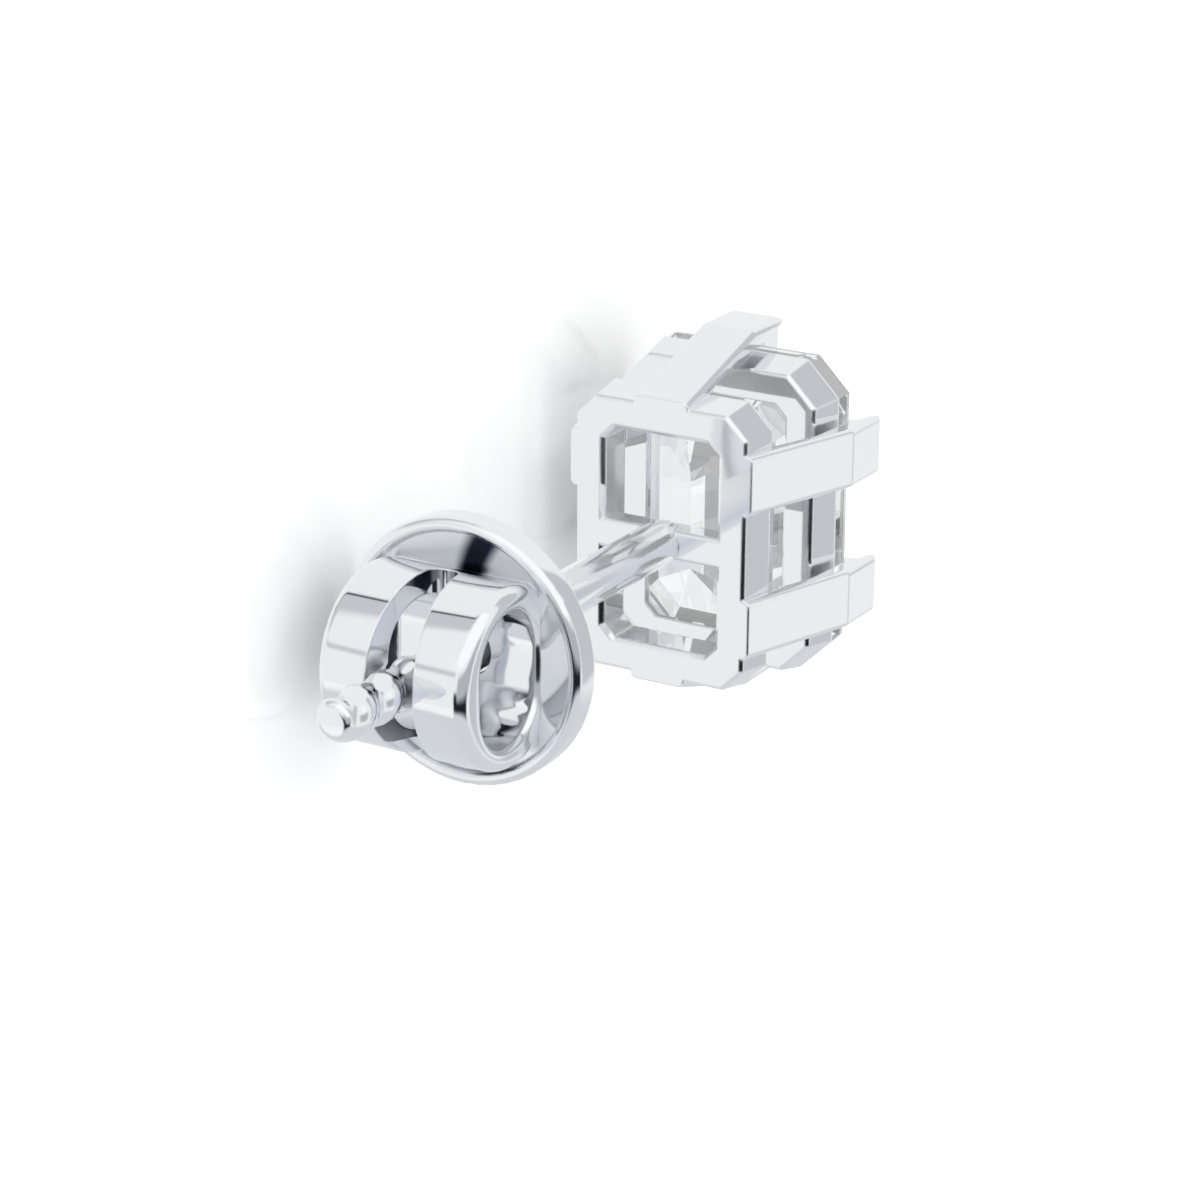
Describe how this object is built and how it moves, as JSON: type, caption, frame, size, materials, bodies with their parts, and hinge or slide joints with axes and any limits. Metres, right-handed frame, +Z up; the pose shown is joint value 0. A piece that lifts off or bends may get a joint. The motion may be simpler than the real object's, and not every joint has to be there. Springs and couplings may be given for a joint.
{
  "type": "diamond stud earring",
  "caption": "Stud earring with an emerald-cut stone in a six-prong basket, a part-threaded post and a round screw back with two loops.",
  "frame": {"origin": "centre of the earring's footprint on the surface that it rests on", "axes": "+Z up, +Y along the post towards its tip, with the post leaning 1.9 degrees down, -Y is where the stone's table faces, X along the stone's long side"},
  "size_m": [0.0086, 0.0176, 0.0065],
  "materials": {
    "polished_white_gold": "mirror polished white gold",
    "diamond": "colourless cut stone, sharp polished facets"
  },
  "bodies": {
    "head": {"setting": "polished_white_gold", "stone": "diamond"},
    "screw_back": {"clutch": "polished_white_gold"}
  },
  "joints": [
    {"name": "clutch_slide", "type": "slide", "parent": "head", "child": "screw_back", "axis": [0, 0.9995, -0.0329], "range_m": [0, 0.0062]}
  ]
}
